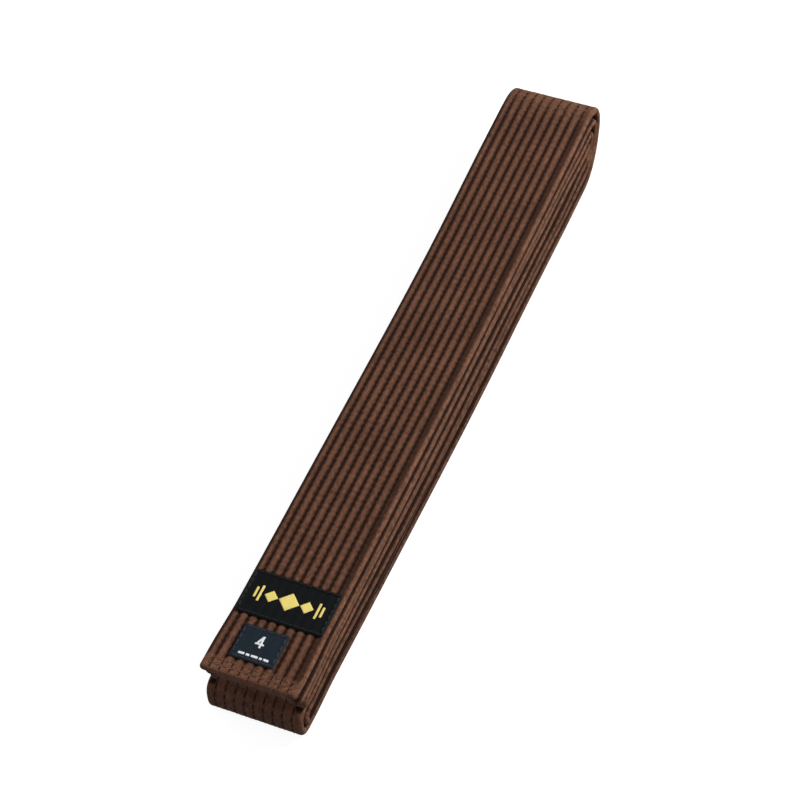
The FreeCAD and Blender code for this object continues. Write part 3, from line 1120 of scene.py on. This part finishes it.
        mirrored = [tuple(reversed(face)) for face in outward]
        faces = []
        for block in range(len(points)):
            base, pattern = block * 16, outward if block < len(points) // 2 else mirrored
            faces += [tuple(base + i for i in face) for face in pattern]
        return mesh_object(f"quilting_{stretch.name}", points, faces, Slot.QUILTING, self.wardrobe)


@dataclass
class EndStitching:
    """The rows of stitches that close a turned-in belt end."""

    strap: BeltStrap
    length: float = 2.1
    gap: float = 0.9
    half_width: float = 0.15

    def build(self) -> None:
        """Builds the closing stitches of both ends, on both faces."""
        labelled, plain = self.strap.courses["labelled_end"], self.strap.courses["plain_end"]
        self._rows("closing_stitches_labelled_end", labelled, labelled.length[0], 1,
                   "label_end_closing_stitches", Body.LABEL_END)
        self._rows("closing_stitches_plain_end", plain, plain.length[-1], -1,
                   "plain_end_closing_stitches", Body.PLAIN_END)

    def _rows(self, name: str, course: Course, tip: float, inward: int, node: str, body: Body) -> None:
        """Builds the rows at one end, each stitch following the ribs under it."""
        strap = self.strap
        pitch = self.length + self.gap
        count = int((strap.packet.width - 3.0) / pitch)
        starts = (np.arange(count) - count / 2) * pitch + self.gap / 2
        shares = np.array([0.0, 0.12, 0.5, 0.88, 1.0])
        lift = np.array([-0.25, 0.05, 0.08, 0.05, -0.25])
        blocks, faces = [], []
        outward = tube_faces(5, 4) + [(3, 2, 1, 0), (16, 17, 18, 19)]
        for side in (1, -1):
            for inset in strap.closing_insets:
                spine = course.at(np.array([tip + inward * inset]))
                share = float(strap.end_share(spine, tip)[0, 0])
                for start in starts:
                    x = start + self.length * shares
                    top = strap.quilting.height(x, spine, side, strap.packet.width)[0] * share + lift
                    offsets = ((-self.half_width, -0.05), (0, 0.1), (self.half_width, -0.05), (0, -0.25))
                    ring = [[(float(spine.x[0]) + a * float(spine.wide[0]), float(spine.y[0]) + along,
                              float(spine.z[0]) + side * (b + rise) * math.cos(float(spine.heading[0])))
                             for along, rise in offsets] for a, b in zip(x, top)]
                    base = sum(len(block) for block in blocks)
                    blocks.append(np.array(ring).reshape(-1, 3))
                    turned = side * math.cos(float(spine.heading[0])) < 0
                    pattern = [tuple(reversed(face)) for face in outward] if turned else outward
                    faces += [tuple(base + i for i in face) for face in pattern]
        piece = mesh_object(name, np.concatenate(blocks), faces, Slot.QUILTING, strap.wardrobe)
        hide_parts(node)
        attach(piece, body.value)


@dataclass(frozen=True)
class Patch:
    """A flat patch in belt coordinates: where each point of its grid lies.

    Attributes:
        x: Places across the belt, rows by columns.
        s: Distances from the labelled end, shaped as x.
    """

    x: np.ndarray
    s: np.ndarray

    @staticmethod
    def rectangle(centre: tuple[float, float], size: tuple[float, float], corner: float,
                  spacing: float) -> "Patch":
        """A rectangle with round corners."""
        counts = [max(4, round(side / spacing)) + 1 for side in size]
        u = np.linspace(-size[0] / 2, size[0] / 2, counts[0])
        v = np.linspace(-size[1] / 2, size[1] / 2, counts[1])
        x, s = np.meshgrid(u, v, indexing="ij")
        over_x = np.maximum(np.abs(x) - (size[0] / 2 - corner), 0)
        over_s = np.maximum(np.abs(s) - (size[1] / 2 - corner), 0)
        reach = np.maximum(np.hypot(over_x, over_s), 1e-9)
        pull = np.where(reach > corner, corner / reach, 1.0) if corner > 0 else np.ones_like(reach)
        x = np.sign(x) * (np.abs(x) - over_x + over_x * pull)
        s = np.sign(s) * (np.abs(s) - over_s + over_s * pull)
        return Patch(x + centre[0], s + centre[1])

    @staticmethod
    def slanted(origin: tuple[float, float], side_a: tuple[float, float], side_b: tuple[float, float],
                spacing: float) -> "Patch":
        """A parallelogram from a corner and its two sides."""
        counts = [max(2, round(math.hypot(*side) / spacing)) + 1 for side in (side_a, side_b)]
        u, v = np.meshgrid(*(np.linspace(0, 1, count) for count in counts), indexing="ij")
        return Patch(origin[0] + u * side_a[0] + v * side_b[0], origin[1] + u * side_a[1] + v * side_b[1])


@dataclass
class LabelSet:
    """The woven label and the size tag sewn on the labelled end, with what is woven into them.

    Attributes:
        label_bridge: Share of the ribs' relief that shows through the cloth.
        stagger: Extra lift of each slab over the one before, so that no two lie level.
        diamonds: Place across the label and half size of each diamond.
        side_bars: Distance from the label's middle and height of each bar at its sides.
        bar_overhang: How much longer the row is than the plain model's.
        numeral_foot: How far its bar is below its middle, as a share of its height.
        numeral_stem: Distance of its stem's left side from its right edge.
        slant_share: Width of its slanted stroke, in strokes.
        stitch_inset: How far the frame lies inside the label's edge.
    """

    strap: BeltStrap
    label_bridge: float = 0.15
    label_thick: float = 0.38
    tag_thick: float = 0.3
    weave_thick: float = 0.12
    cloth_lift: float = 0.03
    stagger: float = 0.015
    diamonds: tuple[tuple[float, float], ...] = ((-7.6, 2.9), (0.0, 4.4), (7.6, 2.9))
    side_bars: tuple[tuple[float, float], ...] = ((12.2, 7.6), (14.1, 5.0))
    side_bar_width: float = 1.0
    bar_lengths: tuple[float, ...] = (2.6, 1.5, 2.9, 1.2, 2.2)
    bar_height: float = 1.05
    bar_overhang: float = 1.2
    bar_drop: float = 0.6
    numeral_stroke: float = 0.85
    numeral_foot: float = 0.26
    numeral_stem: float = 1.75
    slant_share: float = 1.25
    stitch: float = 2.1
    stitch_gap: float = 0.8
    stitch_wide: float = 0.42
    stitch_thick: float = 0.2
    stitch_inset: float = 0.95
    thread_sink: float = 0.02

    def build(self) -> None:
        """Builds both labels."""
        self._label()
        self._tag()

    def _surface(self, x: np.ndarray, s: np.ndarray) -> np.ndarray:
        """Height over the floor of cloth laid on the ribs at belt coordinates x and s."""
        strap = self.strap
        course = strap.courses["labelled_end"].at(s.ravel())
        across = (x.ravel() / course.wide)[:, None]
        ribs = strap.quilting.height(across, course, 1, strap.packet.width)[:, 0]
        bridged = course.thick / 2 - (course.thick / 2 - ribs) * self.label_bridge
        edge = np.clip((strap.packet.width / 2 - np.abs(x.ravel())) / 1.2, 0, 1)
        return (course.z + bridged * edge + ribs * (1 - edge)).reshape(x.shape)

    def _slabs(self, name: str, patches: Sequence[Patch], slot: Slot, lift: float, thick: float,
               rim: float = 0.0) -> bpy.types.Object:
        """Builds closed thin slabs that follow the ribs.

        Args:
            name: The piece's name.
            patches: The slabs' outlines.
            slot: Their material slot.
            lift: Height of their underside over the cloth line.
            thick: Their thickness.
            rim: Extra height of a turned-under edge, about a millimetre wide.

        Returns:
            One piece that holds all the slabs.
        """
        course = self.strap.courses["labelled_end"]
        points, faces = [], []
        for index, patch in enumerate(patches):
            rows, columns = patch.x.shape
            ground = self._surface(patch.x, patch.s) + lift + self.stagger * index
            i, j = np.meshgrid(np.arange(rows), np.arange(columns), indexing="ij")
            border = np.minimum(np.minimum(i, rows - 1 - i), np.minimum(j, columns - 1 - j))
            crown = thick + rim * smooth(1 - np.abs(border - 1.5) / 1.5) - 0.4 * thick * (border == 0)
            x = patch.x + np.interp(patch.s, course.length, course.x)
            y = self.strap.packet.label_end_y + patch.s
            base = sum(len(part) for part in points)
            top = np.stack((x, y, ground + crown), axis=-1).reshape(-1, 3)
            foot = np.stack((x, y, ground), axis=-1).reshape(-1, 3)
            points += [top, foot]
            size = rows * columns
            for a in range(rows - 1):
                for b in range(columns - 1):
                    corner = base + a * columns + b
                    quad = (corner, corner + columns, corner + columns + 1, corner + 1)
                    faces += [quad, tuple(size + k for k in reversed(quad))]
            loop = [base + a * columns for a in range(rows)]
            loop += [base + (rows - 1) * columns + b for b in range(1, columns)]
            loop += [base + a * columns + columns - 1 for a in range(rows - 2, -1, -1)]
            loop += [base + b for b in range(columns - 2, 0, -1)]
            faces += [(b, a, a + size, b + size) for a, b in zip(loop, loop[1:] + loop[:1])]
        return mesh_object(name, np.concatenate(points), faces, slot, self.strap.wardrobe)

    def _edge_stitches(self, name: str, patch_centre: tuple[float, float], size: tuple[float, float],
                       slot: Slot, lift: float) -> bpy.types.Object:
        """Builds a frame of stitches just inside a label's edge."""
        half = [side / 2 - self.stitch_inset for side in size]
        patches = []
        for axis in (0, 1):
            span = 2 * half[axis] - self.stitch_gap * axis * 2
            count = round(span / (self.stitch + self.stitch_gap))
            step = span / count
            for side in (-1, 1):
                for index in range(count):
                    middle = -span / 2 + (index + 0.5) * step
                    place = [middle, side * half[1]] if axis == 0 else [side * half[0], middle]
                    extent = (step - self.stitch_gap, self.stitch_wide)
                    centre = (patch_centre[0] + place[0], patch_centre[1] + place[1])
                    patches.append(Patch.rectangle(centre, extent[::-1] if axis else extent,
                                                   corner=0.12, spacing=0.5))
        return self._slabs(name, patches, slot, lift, self.stitch_thick)

    def _finish(self, piece: bpy.types.Object, node: str) -> None:
        """Replaces the CAD node and rides on the labelled end."""
        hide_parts(node)
        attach(piece, Body.LABEL_END.value)

    def _outline(self, node: str) -> tuple[tuple[float, float], tuple[float, float]]:
        """Centre in belt coordinates and size of a CAD node's outline."""
        low, high = node_box(node)
        start = self.strap.packet.label_end_y
        return ((low.x + high.x) / 2, (low.y + high.y) / 2 - start), (high.x - low.x, high.y - low.y)

    def _cloth(self, node: str, slot: Slot, corner: float, thick: float,
               rim: float) -> tuple[tuple[float, float], tuple[float, float]]:
        """Builds a label's cloth, laid on the belt in the outline of its CAD node.

        Args:
            node: The CAD node.
            slot: The cloth's material slot.
            corner: Radius of its corners.
            thick: Its thickness.
            rim: Extra height of its turned-under edge.

        Returns:
            Its centre in belt coordinates and its size.
        """
        centre, size = self._outline(node)
        cloth = self._slabs(f"{node}_cloth", [Patch.rectangle(centre, size, corner, spacing=0.5)], slot,
                            self.cloth_lift, thick, rim)
        self._finish(cloth, node)
        return centre, size

    def _label(self) -> None:
        """Builds the black label with its gold diamonds and bars."""
        centre, size = self._cloth("woven_label", Slot.LABEL, 1.1, self.label_thick, 0.12)
        top = self.cloth_lift + self.label_thick
        patches = []
        for offset, half in self.diamonds:
            left = (centre[0] + offset - half, centre[1])
            patches.append(Patch.slanted(left, (half, -half), (half, half), spacing=0.45))
        for side in (-1, 1):
            for away, tall in self.side_bars:
                patches.append(Patch.rectangle((centre[0] + side * away, centre[1]),
                                               (self.side_bar_width, tall), corner=0.2, spacing=0.4))
        self._finish(self._slabs("woven_label_motif", patches, Slot.GOLD, top - self.cloth_lift,
                                 self.weave_thick), "label_motif")
        self._finish(self._edge_stitches("woven_label_stitches", centre, size, Slot.LABEL_THREAD,
                                         top - self.thread_sink), "label_stitching")

    def _tag(self) -> None:
        """Builds the slate size tag with its numeral and bars."""
        centre, size = self._cloth("size_tag", Slot.TAG, 0.6, self.tag_thick, 0.06)
        top = self.tag_thick
        self._finish(self._slabs("size_tag_numeral", self._numeral(), Slot.WHITE, top, self.weave_thick),
                     "size_numeral")
        (row_x, row_s), row_size = self._outline("size_tag_bars")
        spare = (row_size[0] + self.bar_overhang - sum(self.bar_lengths)) / (len(self.bar_lengths) - 1)
        bars, place = [], row_x - (row_size[0] + self.bar_overhang) / 2
        for length in self.bar_lengths:
            bars.append(Patch.rectangle((place + length / 2, row_s - self.bar_drop),
                                        (length, self.bar_height), corner=0.1, spacing=0.4))
            place += length + spare
        self._finish(self._slabs("size_tag_bars_woven", bars, Slot.WHITE, top, self.weave_thick),
                     "size_tag_bars")
        self._finish(self._edge_stitches("size_tag_stitches", centre, size, Slot.TAG_THREAD, top),
                     "size_tag_stitching")

    def _numeral(self) -> list[Patch]:
        """The strokes of the size numeral 4, in the box of its CAD node."""
        (x, s), (width, height) = self._outline("size_numeral")
        left, right, foot, head = x - width / 2, x + width / 2, s - height / 2, s + height / 2
        stroke, stem = self.numeral_stroke, right - self.numeral_stem
        bar_foot = s - height * self.numeral_foot
        return [
            Patch.rectangle((stem + stroke / 2, s), (stroke, head - foot), corner=0.15, spacing=0.35),
            Patch.rectangle((x, bar_foot + stroke / 2), (right - left, stroke), corner=0.15, spacing=0.35),
            Patch.slanted((left, bar_foot), (stroke * self.slant_share, 0),
                          (stem - left, head - bar_foot), spacing=0.35),
        ]


@dataclass(frozen=True)
class SoftLight:
    """One rectangular softbox, aimed at the packet's middle."""

    name: str
    place: tuple[float, float, float]
    size: float
    power: float

    def build(self) -> None:
        """Adds the light to the scene."""
        data = bpy.data.lights.new(self.name, "AREA")
        data.shape, data.size, data.energy = "SQUARE", self.size, self.power
        light = bpy.data.objects.new(self.name, data)
        light.location = self.place
        light.rotation_euler = (-Vector(self.place)).to_track_quat("-Z", "Y").to_euler()
        bpy.context.scene.collection.objects.link(light)


@dataclass
class Studio:
    """The camera, the pale floor and the soft lights."""

    camera_place: tuple[float, float, float] = (270.1, -591.2, 789.2)
    down: float = 50.34
    turned: float = -25.47
    roll: float = -3.85
    lens: float = 105.87
    sensor: float = 36.0
    floor_size: float = 6.0
    floor_colour: str = "#8c8c8c"
    surround: float = 0.22
    lights: tuple[SoftLight, ...] = (
        SoftLight("key_softbox_right", (0.88, 0.78, 1.12), 0.3, 31.0),
        SoftLight("fill_softbox_near", (0.3, -1.5, 1.2), 0.8, 6.5),
        SoftLight("fill_softbox_left", (-1.4, 0.1, 0.7), 0.9, 6.0),
    )

    def build(self) -> None:
        """Adds the camera, floor, surround and lights."""
        self._camera()
        self._floor()
        world = bpy.data.worlds.new("white_surround")
        world.use_nodes = True
        world.node_tree.nodes.clear()
        tree = world.node_tree
        way = add_node(tree, "TexCoord").outputs["Generated"]
        split = add_node(tree, "SeparateXYZ", {"Vector": way})
        strength = add_node(tree, "MapRange", {
            "Value": split.outputs["Z"], "From Min": -0.05, "From Max": 0.5,
            "To Min": 0.02, "To Max": self.surround})
        seen = add_node(tree, "LightPath").outputs["Is Camera Ray"]
        # The camera sees the surround white; it lights the packet less than that shows.
        shown = add_node(tree, "Math", {0: strength.outputs["Result"], 1: seen}, operation="MAXIMUM")
        sky = add_node(tree, "Background", {
            "Color": (1.0, 1.0, 1.0, 1.0), "Strength": shown.outputs["Value"]})
        add_node(tree, "OutputWorld", {"Surface": sky.outputs["Background"]})
        bpy.context.scene.world = world
        bpy.context.scene.view_settings.view_transform = "Standard"
        for light in self.lights:
            light.build()

    def _camera(self) -> None:
        """Places the camera by its two angles, its roll and its distance from the packet."""
        down, turned, roll = (math.radians(angle) for angle in (self.down, self.turned, self.roll))
        level = math.cos(down)
        ahead = Vector((math.sin(turned) * level, math.cos(turned) * level, -math.sin(down)))
        right = Vector((math.cos(turned), -math.sin(turned), 0))
        up = right.cross(ahead)
        side = right * math.cos(roll) + up * math.sin(roll)
        top = up * math.cos(roll) - right * math.sin(roll)
        data = bpy.data.cameras.new("camera")
        data.lens, data.sensor_width, data.clip_start = self.lens, self.sensor, 0.01
        camera = bpy.data.objects.new("camera", data)
        turn = Matrix((side, top, -ahead)).transposed()
        camera.matrix_world = Matrix.Translation(Vector(self.camera_place) * MM) @ turn.to_4x4()
        bpy.context.scene.collection.objects.link(camera)
        bpy.context.scene.camera = camera

    def _floor(self) -> None:
        """Lays the floor that the packet rests on."""
        half = self.floor_size / 2
        mesh = bpy.data.meshes.new("floor")
        mesh.from_pydata([(-half, -half, 0), (half, -half, 0), (half, half, 0), (-half, half, 0)], [],
                         [(0, 1, 2, 3)])
        material, tree = new_material("painted_board_matt_white")
        shader = add_node(tree, "BsdfPrincipled", {
            "Base Color": linear(self.floor_colour), "Roughness": 0.9, "Specular IOR Level": 0.1,
            "Emission Color": (1.0, 1.0, 1.0, 1.0), "Emission Strength": 0.9})
        add_node(tree, "OutputMaterial", {"Surface": shader.outputs["BSDF"]})
        mesh.materials.append(material)
        floor = bpy.data.objects.new("floor", mesh)
        floor.visible_diffuse = False
        bpy.context.scene.collection.objects.link(floor)


def main() -> None:
    """Builds the studio and the belt."""
    logging.basicConfig(level=logging.INFO, format="%(name)s: %(message)s")
    Studio().build()
    strap = BeltStrap(Packet(), Wardrobe())
    strap.build()
    EndStitching(strap).build()
    LabelSet(strap).build()


if __name__ == "__main__":
    main()
